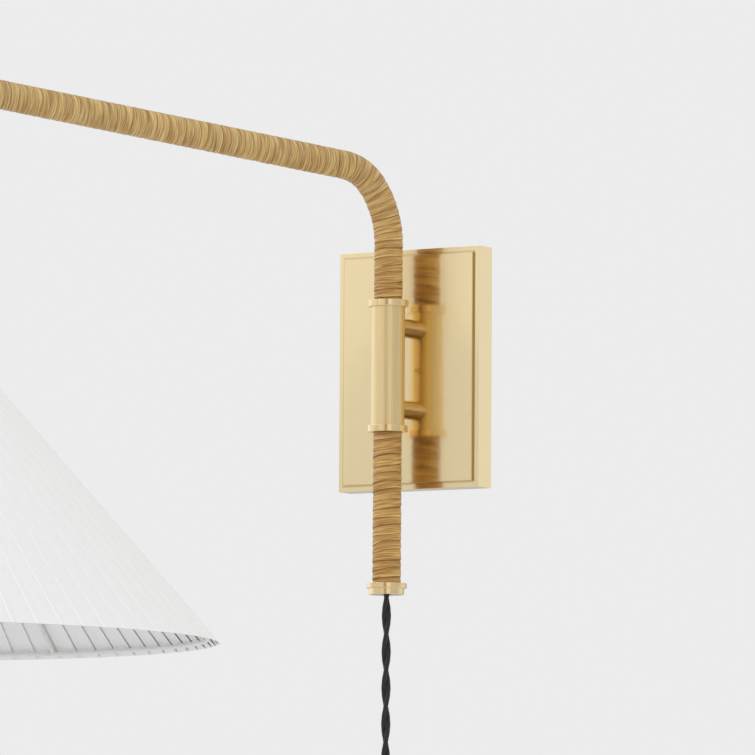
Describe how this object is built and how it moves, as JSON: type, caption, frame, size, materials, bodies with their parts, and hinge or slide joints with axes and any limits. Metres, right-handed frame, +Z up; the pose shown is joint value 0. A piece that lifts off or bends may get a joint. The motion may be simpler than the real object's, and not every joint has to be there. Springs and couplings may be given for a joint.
{
  "type": "swing arm wall sconce",
  "caption": "Plug-in wall sconce: two-tier brass plate, cane-wrapped swing arm turning in a brass barrel on two posts, and a knife-pleated cone shade.",
  "frame": {"origin": "centre of the bracket's back face, which lies on the wall", "axes": "+Y into the wall, -Y into the room, +Z up, +X to the right when facing the wall"},
  "size_m": [0.5579, 0.675, 0.7171],
  "materials": {
    "polished_brass": "polished",
    "satin_brass": "satin brushed",
    "zinc_steel": "zinc plated",
    "nylon": "matt",
    "cane": "natural, matt",
    "black_plastic": "matt",
    "black_cloth": "woven",
    "nickel": "nickel plated",
    "white_wire": "painted white",
    "shade_cloth": "knife pleated",
    "frosted_glass": "frosted"
  },
  "bodies": {
    "wall_mount": {"mounting_bracket": "zinc_steel", "backplate_cover": "polished_brass", "face_panel": "polished_brass", "cover_screws": "zinc_steel", "stiffener_bar": "zinc_steel", "post_upper": "polished_brass", "post_lower": "polished_brass", "post_screws": "zinc_steel", "post_washers": "zinc_steel", "barrel": "satin_brass", "collar_top": "polished_brass", "collar_bottom": "polished_brass", "bushing_upper": "nylon", "bushing_lower": "nylon", "friction_screw": "zinc_steel"},
    "arm": {"arm_tube": "zinc_steel", "thrust_ring": "polished_brass", "retaining_ring": "polished_brass", "cane_wrap_lower": "cane", "cane_wrap_arm": "cane", "end_cap": "polished_brass", "cord_grommet": "black_plastic", "inner_cord": "black_cloth", "arm_ferrule": "polished_brass", "holder_stem": "zinc_steel", "holder_cap": "polished_brass", "holder_shell": "polished_brass", "holder_core": "black_plastic", "screw_shell": "nickel", "centre_contact": "nickel", "ring_nut": "polished_brass", "shade_fitter": "white_wire", "shade_frame": "white_wire", "pleated_shade": "shade_cloth", "bulb_base": "nickel", "bulb_glass": "frosted_glass", "power_cord": "black_cloth", "cord_hank": "black_cloth", "cord_tail": "black_cloth", "hank_tie": "black_plastic", "plug_body": "black_plastic", "plug_blades": "nickel"},
    "switch_key": {"switch_shaft": "nickel", "switch_knob": "polished_brass"}
  },
  "joints": [
    {"name": "arm_swing", "type": "hinge", "parent": "wall_mount", "child": "arm", "pos_m": [0, -0.044, 0], "axis": [0, 0, 1], "range_deg": [-23, 87.8]},
    {"name": "switch_turn", "type": "hinge", "parent": "arm", "child": "switch_key", "pos_m": [-0.22692, -0.40157, 0.05], "axis": [0.8443, -0.5358, 0], "continuous": true}
  ]
}
